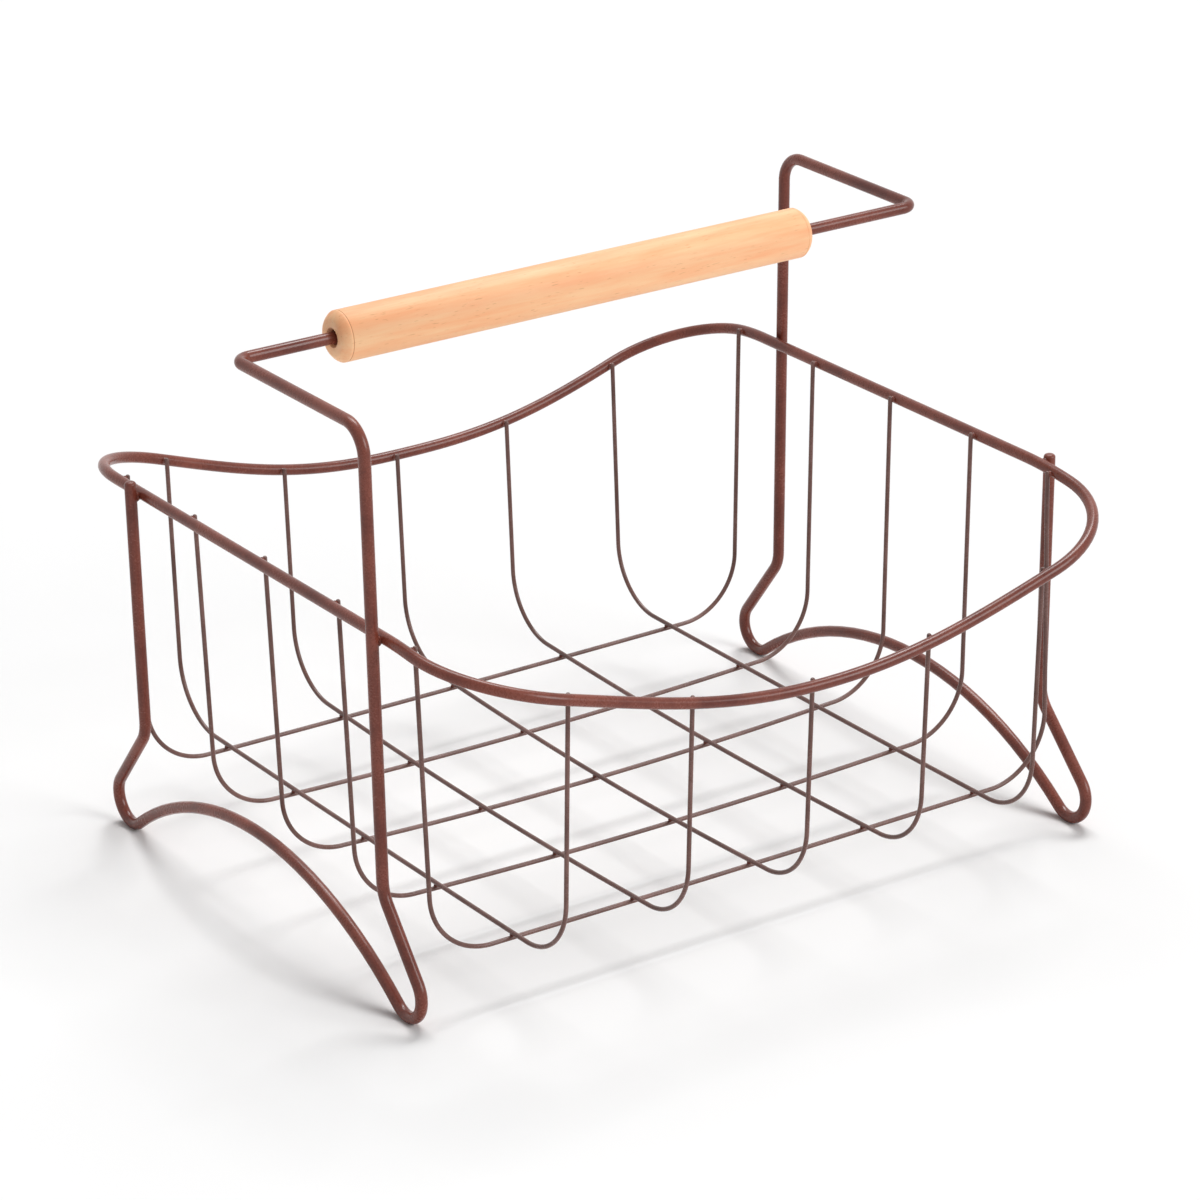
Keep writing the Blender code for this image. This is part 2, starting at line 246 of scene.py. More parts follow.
class BasketStage(bpy.types.PropertyGroup):
    """Camera, floor and light"""

    camera_place: FloatVectorProperty(
        name="Camera place", description="Where the camera stands", subtype="TRANSLATION", unit="LENGTH",
        default=(-1.074178, -1.594347, 0.896953), precision=6,
    )
    camera_turn: rotation("Camera turn", "Rotation of the camera", (67.622279, 0.590590, -34.300671))
    lens: number("Lens", "Focal length in millimetres on a 36 mm sensor", 143.843)
    floor_size: length("Floor size", "Side of the floor", 40.0)
    floor: colour("Floor", "Colour of the floor", (0.905, 0.905, 0.905))
    sky: number("Sky", "Strength of the even light from all round", 0.29)
    lamp: number("Lamp", "Strength of the overhead lamp", 1.25)
    lamp_turn: rotation("Lamp turn", "Direction of the overhead lamp", (-15.5, 26.5, 0.0))
    lamp_spread: spread_angle("Lamp spread", "How wide the overhead lamp looks from the basket", 20.0)
    back: number("Back lamp", "Strength of the broad lamp behind the basket", 0.95)
    back_turn: rotation("Back turn", "Direction of the lamp behind the basket", (-25.5, 0.0, -18.0))
    back_spread: spread_angle("Back spread", "How wide the lamp behind the basket looks from it", 23.0)
    fill: number("Fill", "Strength of the broad lamp in front of the basket", 1.45)
    fill_turn: rotation("Fill turn", "Direction of the broad lamp", (62.0, 0.0, 30.0))
    fill_spread: spread_angle("Fill spread", "How wide the broad lamp looks from the basket", 32.0)


def settings():
    return bpy.context.scene.basket


class BasketSettings(bpy.types.PropertyGroup):
    """All settings of the basket"""

    wires: PointerProperty(type=BasketWires)
    rim: PointerProperty(type=BasketRim)
    mesh: PointerProperty(type=BasketMesh)
    welds: PointerProperty(type=BasketWelds)
    ends: PointerProperty(type=BasketEnds)
    handle: PointerProperty(type=BasketHandle)
    finish: PointerProperty(type=BasketFinish)
    stage: PointerProperty(type=BasketStage)


# Where the wires run


def rim_sizes():
    """Straight half of a side, straight half of an end and a quarter of the rim's run."""
    rim = settings().rim
    side = rim.length / 2 - rim.corner
    end = rim.width / 2 - rim.corner
    return side, end, side + rim.corner * math.pi / 2 + end


def rim_height(run, front):
    """Height of the rim at a distance along it from the middle of a side, positive to the right."""
    rim = settings().rim
    if front:
        share = min(abs(run - rim.front_low) / rim.front_rise, 1.0) ** rim.front_power
    else:
        share = min(abs(run - rim.back_low) / rim.back_rise, 1.0) ** rim.back_power
    return rim.height - rim.dip * (1 + math.cos(math.pi * share)) / 2


def rim_point(run, front):
    """Point of the rim's centre line at a run from the middle of the front or back side."""
    corner = settings().rim.corner
    side, end, _ = rim_sizes()
    past = abs(run) - side
    turn = min(max(past / corner, 0.0), math.pi / 2)
    x = math.copysign(min(abs(run), side) + corner * math.sin(turn), run)
    y = end + corner * math.cos(turn) - max(past - corner * math.pi / 2, 0.0)
    return Vector((x, -y if front else y, rim_height(run, front)))


def rim_contact(offset, straight, across):
    """Where a thin wire meets the inside of the rim, at an offset from the middle of that side.

    Returns the wire's distance from the basket's middle plane, the run along the rim from the
    middle of the side and the turn of the rim there.
    """
    wires, rim = settings().wires, settings().rim
    inner = rim.corner - wires.rim_wire / 2 - wires.weld_gap - wires.thin_wire / 2
    turn = math.asin(max(abs(offset) - straight, 0.0) / inner)
    distance = across - rim.corner + inner * math.cos(turn)
    run = min(abs(offset), straight) + rim.corner * turn
    return distance, run, turn


def floor_depth(x, y):
    """Depth of the sagging floor below its edge."""
    mesh = settings().mesh
    along = x / (mesh.floor_length / 2 - mesh.floor_bend)
    across = y / (mesh.floor_width / 2 - mesh.floor_bend)
    return mesh.floor_sag * max(1 - along * along, 0.0) * max(1 - across * across, 0.0)


def layer_step():
    """From the plane where the floor's layers meet to the centre line of either."""
    wires = settings().wires
    return (wires.thin_wire + wires.weld_gap) / 2


def wire_places(pitch):
    """Places of the thin wires of one layer, from the middle of the basket."""
    return [(i - (WIRES_PER_LAYER - 1) / 2) * pitch for i in range(WIRES_PER_LAYER)]


def bore_radius():
    return settings().wires.frame_wire / 2 + settings().handle.grip_clearance


# Work at the bench


def start_wire(name, place, heading, diameter, sides):
    """Adds the wire's first round section, square to its heading, and leaves it in edit mode."""
    bpy.ops.object.select_all(action="DESELECT")
    bpy.ops.mesh.primitive_circle_add(
        vertices=sides, radius=diameter / 2, fill_type="NGON",
        location=place, rotation=heading.to_track_quat("Z", "Y").to_euler(),
    )
    wire = bpy.context.object
    wire.name = wire.data.name = name
    bpy.ops.object.transform_apply(location=True, rotation=True, scale=True)
    bpy.ops.object.mode_set(mode="EDIT")
    bpy.ops.mesh.select_mode(type="FACE")
    bpy.ops.mesh.select_all(action="SELECT")
    return wire


def start_point(name, place):
    """Adds a single point, ready to be drawn out into a line, and leaves it in edit mode."""
    bpy.ops.object.select_all(action="DESELECT")
    bpy.ops.mesh.primitive_plane_add(size=POINT_SIZE, location=place)
    piece = bpy.context.object
    piece.name = piece.data.name = name
    bpy.ops.object.transform_apply(location=True, rotation=True, scale=True)
    bpy.ops.object.mode_set(mode="EDIT")
    bpy.ops.mesh.select_mode(type="VERT")
    bpy.ops.mesh.select_all(action="SELECT")
    bpy.ops.mesh.merge(type="CENTER")
    return piece


def feed(step):
    """Draws out what is selected by one straight step."""
    bpy.ops.mesh.extrude_region_move(TRANSFORM_OT_translate={"value": step})


def follow(moves):
    """Draws the selected section along lines and bends."""
    for move in moves:
        if isinstance(move, Line):
            feed(move.end - move.start)
        else:
            # Spin turns against its axis, so the axis is reversed.
            bpy.ops.mesh.spin(
                steps=max(2, math.ceil(abs(move.angle) / BEND_STEP)),
                angle=move.angle, center=move.center, axis=-move.axis,
            )


def backwards(moves):
    """The same lines and bends from the other end."""
    return [
        Line(m.end, m.start) if isinstance(m, Line) else Bend(m.center, m.axis, -m.angle)
        for m in reversed(moves)
    ]


def select_faces(piece, wanted):
    """Leaves the piece in edit mode with only the faces selected that pass a test."""
    bpy.ops.object.mode_set(mode="EDIT")
    bpy.ops.mesh.select_mode(type="FACE")
    bpy.ops.mesh.select_all(action="DESELECT")
    bpy.ops.object.mode_set(mode="OBJECT")
    for face in piece.data.polygons:
        face.select = wanted(face)
    bpy.ops.object.mode_set(mode="EDIT")


def round_cut_ends(piece, amount, lowest):
    """Rounds the edge of each cut end that lies above a height."""
    # Only a cut end has more than four corners.
    select_faces(piece, lambda face: len(face.vertices) > 4 and face.center.z > lowest)
    bpy.ops.mesh.region_to_loop()
    bpy.ops.mesh.bevel(offset=amount, segments=TIP_STEPS, profile=0.5, affect="EDGES")


def close_up():
    """Merges doubles and turns all faces outwards."""
    bpy.ops.mesh.select_all(action="SELECT")
    bpy.ops.mesh.remove_doubles(threshold=MERGE_DISTANCE)
    bpy.ops.mesh.normals_make_consistent(inside=False)


def finish_piece(piece, body, materials, nodes=()):
    """Shades the piece, gives it its finish and hands it to the frame."""
    bpy.ops.object.mode_set(mode="OBJECT")
    bpy.ops.object.shade_smooth_by_angle(angle=SHARP_ANGLE)
    for material in materials:
        piece.data.materials.append(material)
    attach(piece, body)
    if nodes:
        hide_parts(*nodes)


# Finishes


def node(tree, kind, place, **inputs):
    """Adds a node and sets its inputs by name."""
    made = tree.nodes.new("ShaderNode" + kind)
    made.location = place
    for name, value in inputs.items():
        made.inputs[name.replace("_", " ")].default_value = value
    return made


def give(tree, target, value):
    """Feeds an input from a socket, or sets it to a plain value."""
    if isinstance(value, bpy.types.NodeSocket):
        tree.links.new(value, target)
    else:
        target.default_value = value


def calculate(tree, place, operation, *values):
    """Adds a Math node. Each of its values is a socket or a plain number."""
    made = node(tree, "Math", place)
    made.operation = operation
    for target, value in zip(made.inputs, values):
        give(tree, target, value)
    return made.outputs["Value"]


def grain(tree, place, vector, scale, detail, roughness=0.5):
    """Noise with a scale of its own along each axis."""
    x, y = place
    stretched = node(tree, "Mapping", (x - 200, y), Scale=scale)
    tree.links.new(vector, stretched.inputs["Vector"])
    made = node(tree, "TexNoise", place, Scale=1.0, Detail=detail, Roughness=roughness)
    tree.links.new(stretched.outputs["Vector"], made.inputs["Vector"])
    return made.outputs["Fac"]


def remap(tree, place, value, low=0.0, high=1.0, to_low=0.0, to_high=1.0):
    """Takes a value from one range to another and stops at its ends."""
    made = node(tree, "MapRange", place, From_Min=low, From_Max=high, To_Min=to_low, To_Max=to_high)
    tree.links.new(value, made.inputs["Value"])
    return made.outputs["Result"]


def mixed(tree, place, factor, first, second):
    """Mixes two colours, each a socket or a plain colour."""
    made = tree.nodes.new("ShaderNodeMix")
    made.data_type = "RGBA"
    made.location = place
    tree.links.new(factor, made.inputs["Factor"])
    for name, value in (("A", first), ("B", second)):
        target = next(s for s in made.inputs if s.name == name and s.type == "RGBA")
        give(tree, target, value if isinstance(value, bpy.types.NodeSocket) else (*value, 1.0))
    return next(s for s in made.outputs if s.type == "RGBA")


def effect_group(name, inputs, outputs):
    """Starts a node group that takes a vector and named numbers and puts out named numbers."""
    group = bpy.data.node_groups.new(name, "ShaderNodeTree")
    group.interface.new_socket(name="Vector", in_out="INPUT", socket_type="NodeSocketVector")
    for socket_name, default in inputs.items():
        made = group.interface.new_socket(name=socket_name, in_out="INPUT", socket_type="NodeSocketFloat")
        made.default_value = default
    for socket_name in outputs:
        group.interface.new_socket(name=socket_name, in_out="OUTPUT", socket_type="NodeSocketFloat")
    start = group.nodes.new("NodeGroupInput")
    end = group.nodes.new("NodeGroupOutput")
    end.location = (1300, 0)
    return group, start.outputs, end.inputs


def paint_film_group():
    """Sprayed paint: slow changes of thickness, a fine speckle and orange peel."""
    if "Paint film" in bpy.data.node_groups:
        return bpy.data.node_groups["Paint film"]
    group, given, out = effect_group(
        "Paint film", {"Patch size": 40.0, "Peel size": 900.0}, ("Thinness", "Peel")
    )
    links = group.links
    patches = node(group, "TexNoise", (200, 200), Detail=3.0, Roughness=0.6)
    links.new(given["Vector"], patches.inputs["Vector"])
    links.new(given["Patch size"], patches.inputs["Scale"])
    peel = node(group, "TexNoise", (200, -200), Detail=2.0, Roughness=0.55)
    links.new(given["Vector"], peel.inputs["Vector"])
    links.new(given["Peel size"], peel.inputs["Scale"])
    links.new(peel.outputs["Fac"], out["Peel"])
    film = calculate(
        group, (450, 100), "MULTIPLY_ADD", peel.outputs["Fac"], SPECKLE_SHARE, patches.outputs["Fac"]
    )
    links.new(remap(group, (650, 100), film, low=0.50, high=1.00), out["Thinness"])
    return group


def wood_fibre_group():
    """Wood along X: growth rings, long fibres and short open pores. Run shortens them along X."""
    if "Wood fibre" in bpy.data.node_groups:
        return bpy.data.node_groups["Wood fibre"]
    group, given, out = effect_group("Wood fibre", {"Run": 1.0}, ("Rings", "Fibres", "Pores"))
    links = group.links
    along = node(group, "CombineXYZ", (150, -350), Y=1.0, Z=1.0)
    links.new(given["Run"], along.inputs["X"])
    shortened = node(group, "VectorMath", (300, 0))
    shortened.operation = "MULTIPLY"
    links.new(given["Vector"], shortened.inputs[0])
    links.new(along.outputs["Vector"], shortened.inputs[1])
    vector = shortened.outputs["Vector"]
    figure = grain(group, (700, 300), vector, RING_SCALE, detail=3.0, roughness=0.6)
    links.new(remap(group, (950, 300), figure, low=0.33, high=0.67), out["Rings"])
    links.new(grain(group, (700, 0), vector, FIBRE_SCALE, detail=4.0, roughness=0.6), out["Fibres"])
    pore = grain(group, (700, -300), vector, PORE_SCALE, detail=1.0)
    links.new(remap(group, (950, -300), pore, low=0.67, high=0.76), out["Pores"])
    return group


def new_finish(name, effect, values):
    """Starts a material with an effect group that reads the piece's own coordinates."""
    material = bpy.data.materials.new(name + "_finish")
    material.use_nodes = True
    tree = material.node_tree
    place = node(tree, "TexCoord", (-1300, 0))
    made = node(tree, "Group", (-1050, 0))
    made.node_tree = effect
    for socket_name, value in values.items():
        made.inputs[socket_name].default_value = value
    tree.links.new(place.outputs["Object"], made.inputs["Vector"])
    return material, made.outputs


def finish_surface(tree, base, rough, height, bump):
    """Joins a material's colour, roughness and relief to its shader, which it returns."""
    shader = tree.nodes["Principled BSDF"]
    relief = node(tree, "Bump", (-300, -250), Strength=bump, Distance=RELIEF_DEPTH)
    tree.links.new(height, relief.inputs["Height"])
    tree.links.new(base, shader.inputs["Base Color"])
    tree.links.new(rough, shader.inputs["Roughness"])
    tree.links.new(relief.outputs["Normal"], shader.inputs["Normal"])
    return shader


def paint_material(name, thick, thin, patch_size, peel_size, bump, gloss_change):
    """Satin brown paint. Patches of thinner paint are lighter and a little duller."""
    if name + "_finish" in bpy.data.materials:
        return bpy.data.materials[name + "_finish"]
    gloss = settings().finish.paint_gloss
    material, film = new_finish(name, paint_film_group(), {"Patch size": patch_size, "Peel size": peel_size})
    tree, thinness = material.node_tree, film["Thinness"]
    base = mixed(tree, (-300, 200), thinness, thick, thin)
    rough = remap(tree, (-300, 0), thinness, to_low=gloss - gloss_change, to_high=gloss + gloss_change)
    shader = finish_surface(tree, base, rough, film["Peel"], bump)
    for socket_name, value in PAINT_SHINE.items():
        shader.inputs[socket_name].default_value = value
    return material


def wood_material(name, pale, ring, run, roughness, bump):
    """Sanded wood, or the darker wood that paints shade into the bore and the tool line. Its pores are darker
    and cut into the surface.
    """
    material, fibre = new_finish(name, wood_fibre_group(), {"Run": run})
    tree = material.node_tree
    rings, fibres, pores = (fibre[n] for n in ("Rings", "Fibres", "Pores"))
    figure = remap(tree, (-800, 400), rings, to_low=-0.2, to_high=0.65)
    blend = calculate(tree, (-800, 200), "MULTIPLY_ADD", fibres, FIBRE_SHARE, figure)
    body = mixed(tree, (-550, 200), blend, pale, ring)
    dots = remap(tree, (-550, 0), pores, to_high=0.5)
    base = mixed(tree, (-300, 200), dots, body, settings().finish.wood_pore)
    rough = remap(
        tree, (-300, 0), fibres, low=0.2, high=0.8,
        to_low=roughness - WOOD_GLOSS_CHANGE, to_high=roughness + WOOD_GLOSS_CHANGE,
    )
    finish_surface(tree, base, rough, calculate(tree, (-550, -250), "SUBTRACT", fibres, pores), bump)
    return material


def wire_paint():
    finish = settings().finish
    return paint_material(
        "brown_paint", finish.paint, finish.paint_thin,
        patch_size=45.0, peel_size=1100.0, bump=0.04, gloss_change=0.05,
    )


def fine_wire_paint():
    finish = settings().finish
    return paint_material(
        "fine_paint", finish.fine_paint, finish.fine_paint_thin,
        patch_size=60.0, peel_size=1500.0, bump=0.08, gloss_change=0.05,
    )


def weld_paint():
    finish = settings().finish
    return paint_material(
        "weld_paint", finish.paint, finish.paint_thin,
        patch_size=400.0, peel_size=1700.0, bump=0.35, gloss_change=0.08,
    )


# Pieces


def end_frame(side, short_foot, tip):
    """Lines and bends of one end, from its short post's cut end to the middle of the bar.

    side is -1 at the left and 1 at the right, which is the left end turned half round. Places
    are given in the plane of the end, as the distance y from its middle and the height z.
    """
    wires, ends, handle, rim = settings().wires, settings().ends, settings().handle, settings().rim
    post_x = rim.length / 2 + wires.rim_wire / 2 + wires.weld_gap + wires.frame_wire / 2

    def spot(y, z):
        return Vector((side * (post_x + ends.post_lean * (z - rim.height)), ends.shift - side * y, z))

    normal = Vector((-side, 0.0, ends.post_lean)).normalized()
    post_y = ends.post_spacing / 2
    arch_half = (short_foot + ends.tall_foot) / 2

    def leg(foot_y):
        """Bends of a leg on the y side, from the post to the crest of the arch."""
        foot = Vector((foot_y, wires.frame_wire / 2 - ends.foot_flat + ends.foot_bend))
        drop = foot.y - ends.arch_height
        # The arch is a circle that touches both foot bends from outside.
        radius = (arch_half**2 + drop**2 - ends.foot_bend**2) / (2 * (ends.foot_bend - drop))
        arch = Vector((foot_y - arch_half, ends.arch_height - radius))
        reach = math.atan2(arch_half, radius + drop)
        to_foot = foot - Vector((post_y, ends.kink_height))
        heading = math.atan2(to_foot.y, to_foot.x) + math.asin(ends.foot_bend / to_foot.length)
        turn = heading + math.pi / 2
        kink = Vector((post_y + ends.kink_bend, ends.kink_height + ends.kink_bend * math.tan(turn / 2)))
        swing = math.atan2(arch.y - foot.y, arch.x - foot.x) - (heading + math.pi / 2)
        out = Vector((math.cos(turn), math.sin(turn)))
        return Leg(
            kink, turn, kink - out * ends.kink_bend, foot + out * ends.foot_bend, foot, swing, arch, reach
        )

    def down(bent):
        """Moves of a leg on the y side, from the post to where its arch begins."""
        return [
            Bend(spot(*bent.kink), normal, bent.turn),
            Line(spot(*bent.leaves), spot(*bent.meets)),
            Bend(spot(*bent.foot), normal, bent.swing),
        ]

    def mirrored(moves):
        """The moves of a leg on the other side of the end's middle, still from the post down."""

        def flip(point):
            return Vector((point.x, 2 * ends.shift - point.y, point.z))

        return [
            Line(flip(m.start), flip(m.end)) if isinstance(m, Line)
            else Bend(flip(m.center), m.axis, -m.angle)
            for m in moves
        ]

    short_leg, tall_leg = leg(short_foot), leg(ends.tall_foot)
    tall_kink = spot(-post_y, tall_leg.kink.y)
    top = spot(-post_y, handle.height)
    corner = Vector((top.x, 0.0, top.z))
    up = (top - tall_kink).normalized()
    along = Vector((0.0, -side, 0.0))
    inward = Vector((-side, 0.0, 0.0))
    arm, bar = handle.arm_bend, handle.bar_bend
    return (
        [Line(spot(post_y, rim.height + tip), spot(post_y, short_leg.kink.y))]
        + down(short_leg)
        + [Bend(spot(*short_leg.arch), normal, 2 * short_leg.reach)]
        + backwards(mirrored(down(tall_leg)))
        + [
            Line(tall_kink, top - up * arm),
            Bend(top - up * arm + along * arm, normal, -math.pi / 2),
            Line(top + along * arm, corner - along * bar),
            Bend(corner - along * bar + inward * bar, -Z_AXIS, math.pi / 2),
            Line(corner + inward * bar, Vector((0.0, 0.0, handle.height))),
        ]
    )


class BASKET_OT_frame_wire(bpy.types.Operator):
    """Bend one thick wire into both end frames, their feet, the arms and the handle bar"""

    bl_idname = "basket.frame_wire"
    bl_label = "Frame Wire"

    def execute(self, context):
        wires, ends = settings().wires, settings().ends
        left = end_frame(-1, ends.left_foot, ends.left_tip)
        right = end_frame(1, ends.right_foot, ends.right_tip)
        first = left[0]
        wire = start_wire(
            "frame_wire_bent", first.start, first.end - first.start, wires.frame_wire, THICK_SIDES
        )
        follow(left + backwards(right))
        close_up()
        # The floor plane cuts the flats under the feet.
        bpy.ops.mesh.bisect(
            plane_co=(0, 0, 0), plane_no=Z_AXIS, use_fill=True, clear_inner=True, threshold=MERGE_DISTANCE
        )
        round_cut_ends(wire, wires.frame_wire * THICK_TIP, settings().rim.height)
        close_up()
        finish_piece(wire, "basket", [wire_paint()], ["frame_wire"])
        return {"FINISHED"}


class BASKET_OT_rim_wire(bpy.types.Operator):
    """Draw the rim point by point, level over the ends and dipped along the sides"""

    bl_idname = "basket.rim_wire"
    bl_label = "Rim Wire"

    def execute(self, context):
        quarter = rim_sizes()[2]
        count = math.ceil(quarter / RIM_STEP)
        runs = [quarter * i / count for i in range(-count, count + 1)]
        points = [rim_point(run, True) for run in runs] + [rim_point(run, False) for run in runs[::-1]]
        rim = start_point("rim_wire_bent", points[0])
        for here, there in zip(points, points[1:]):
            if (there - here).length > MERGE_DISTANCE:
                feed(there - here)
        close_up()
        bpy.ops.object.mode_set(mode="OBJECT")
        bpy.ops.object.convert(target="CURVE")
        # A resolution of r gives a round section 2 * (r + 2) facets.
        rim.data.bevel_depth = settings().wires.rim_wire / 2
        rim.data.bevel_resolution = THICK_SIDES // 2 - 2
        bpy.ops.object.convert(target="MESH")
        bpy.ops.object.mode_set(mode="EDIT")
        close_up()
        finish_piece(rim, "basket", [wire_paint()], ["rim_wire"])
        return {"FINISHED"}


def bend_thin_wire(name, level, floor_half, top_half, tops, depth_at, place, stray=Vector()):
    """Bends one thin wire down from the rim, across the floor and up to the rim again.

    place turns a distance along the wire's own plane and a height into a point, and stray is
    how far its last tip is welded out of that plane.
    """
    wires, mesh = settings().wires, settings().mesh
    axis = (place(1, 0) - place(0, 0)).cross(place(0, 1) - place(0, 0))
    radius = mesh.floor_bend
    sides = []
    for side, top in zip((-1, 1), tops):
        # The wall leans by a few degrees, so the bend is that much less than square.
        lean = math.atan2(top_half - floor_half, top - level)
        turn = math.pi / 2 - lean
        run = radius * math.tan(turn / 2)
        enters = (side * (floor_half + run * math.sin(lean)), level + run * math.cos(lean))
        sides.append((place(side * top_half, top), place(*enters), side * (floor_half - run), turn))
    (tip, enters, floor_start, turn), (last_tip, leaves, floor_end, last_turn) = sides
    floor = []
    for i in range(FLOOR_STEPS + 1):
        along = floor_start + (floor_end - floor_start) * i / FLOOR_STEPS
        floor.append(place(along, level - depth_at(along)))
    floor[0], floor[-1] = place(floor_start, level), place(floor_end, level)
    wire = start_wire(name, tip, enters - tip, wires.thin_wire, THIN_SIDES)
    follow(
        [Line(tip, enters), Bend(place(floor_start, level + radius), axis, turn)]
        + [Line(a, b) for a, b in zip(floor, floor[1:])]
        + [Bend(place(floor_end, level + radius), axis, last_turn), Line(leaves, last_tip + stray)]
    )
    close_up()
    round_cut_ends(wire, wires.thin_wire * THIN_TIP, mesh.floor_height + mesh.floor_bend)
    close_up()
    return wire


def lengthwise_tops(y):
    """Half the distance between the tips of a lengthwise wire, its rim runs and the rim's turn."""
    _, end, quarter = rim_sizes()
    top_half, from_end, turn = rim_contact(y, end, settings().rim.length / 2)
    return top_half, (-(quarter - from_end), quarter - from_end), turn


def crosswise_tops(x):
    """The same for a crosswise wire, whose two tips share one run of the rim."""
    side, _, _ = rim_sizes()
    top_half, run, turn = rim_contact(x, side, settings().rim.width / 2)
    return top_half, math.copysign(run, x), turn


def right_stray(index):
    """How far the right tip of a lengthwise wire is welded towards the back."""
    mesh = settings().mesh
    return Vector((0.0, mesh.right_shift if index else mesh.stray_shift, 0.0))


class BASKET_OT_lengthwise_wires(bpy.types.Operator):
    """Bend the five thin wires that run from end to end, the lower layer of the floor"""

    bl_idname = "basket.lengthwise_wires"
    bl_label = "Lengthwise Wires"

    def execute(self, context):
        mesh = settings().mesh
        for index, y in enumerate(wire_places(mesh.lengthwise_pitch)):
            node_name = f"lengthwise_wire_{index + 1}"
            top_half, runs, _ = lengthwise_tops(y)
            tops = [rim_height(run, y < 0) + mesh.tip for run in runs]
            wire = bend_thin_wire(
                node_name + "_bent", mesh.floor_height - layer_step(), mesh.floor_length / 2, top_half, tops,
                lambda x: floor_depth(x, y), lambda x, z: Vector((x, y, z)), right_stray(index),
            )
            finish_piece(wire, "basket", [fine_wire_paint()], [node_name])
        return {"FINISHED"}


class BASKET_OT_crosswise_wires(bpy.types.Operator):
    """Bend the five thin wires that run from side to side on top of the lengthwise ones"""

    bl_idname = "basket.crosswise_wires"
    bl_label = "Crosswise Wires"

    def execute(self, context):
        mesh = settings().mesh
        for index, x in enumerate(wire_places(mesh.crosswise_pitch)):
            node_name = f"crosswise_wire_{index + 1}"
            top_half, run, _ = crosswise_tops(x)
            tops = [rim_height(run, front) + mesh.tip for front in (True, False)]
            wire = bend_thin_wire(
                node_name + "_bent", mesh.floor_height + layer_step(), mesh.floor_width / 2, top_half, tops,
                lambda y: floor_depth(x, y), lambda y, z: Vector((x, y, z)),
            )
            finish_piece(wire, "basket", [fine_wire_paint()], [node_name])
        return {"FINISHED"}


def weld_bead(name, radius, height):
    """One round bead of weld metal at the origin: a small disc drawn up, out and in again."""
    bpy.ops.object.select_all(action="DESELECT")
    bpy.ops.mesh.primitive_circle_add(vertices=BEAD_SIDES, radius=radius, fill_type="NGON")
    bead = bpy.context.object
    bead.name = bead.data.name = name
    bpy.ops.object.mode_set(mode="EDIT")
    bpy.ops.mesh.select_mode(type="FACE")
    bpy.ops.mesh.select_all(action="SELECT")
    bpy.ops.transform.translate(value=(0, 0, -height / 2))
    bpy.ops.transform.resize(value=(BEAD_FOOT, BEAD_FOOT, 1.0))
    for share, size in BEAD_RINGS:
        feed((0, 0, height * share))
        bpy.ops.transform.resize(value=(size, size, 1.0), center_override=(0, 0, 0))
    close_up()
    bpy.ops.object.mode_set(mode="OBJECT")
    return bead


def copy_beads(bead, places):
    """Copies a bead to each place, given as its centre and its three turned axes."""
    copies = []
    for center, across, along, upright in places:
        bpy.ops.object.select_all(action="DESELECT")
        bead.select_set(True)
        bpy.context.view_layer.objects.active = bead
        bpy.ops.object.duplicate(linked=False)
        made = bpy.context.object
        for vertex in made.data.vertices:
            x, y, z = vertex.co
            vertex.co = center + across * x + along * y + upright * z
        copies.append(made)
    bpy.ops.object.select_all(action="DESELECT")
    for made in copies:
        made.select_set(True)
    bpy.context.view_layer.objects.active = copies[0]
    bpy.ops.object.join()
    joined = bpy.context.object
    joined.name = joined.data.name = bead.name.replace("_bead", "_welds")
    bpy.data.objects.remove(bead, do_unlink=True)
    bpy.ops.object.mode_set(mode="EDIT")
    close_up()
    return joined


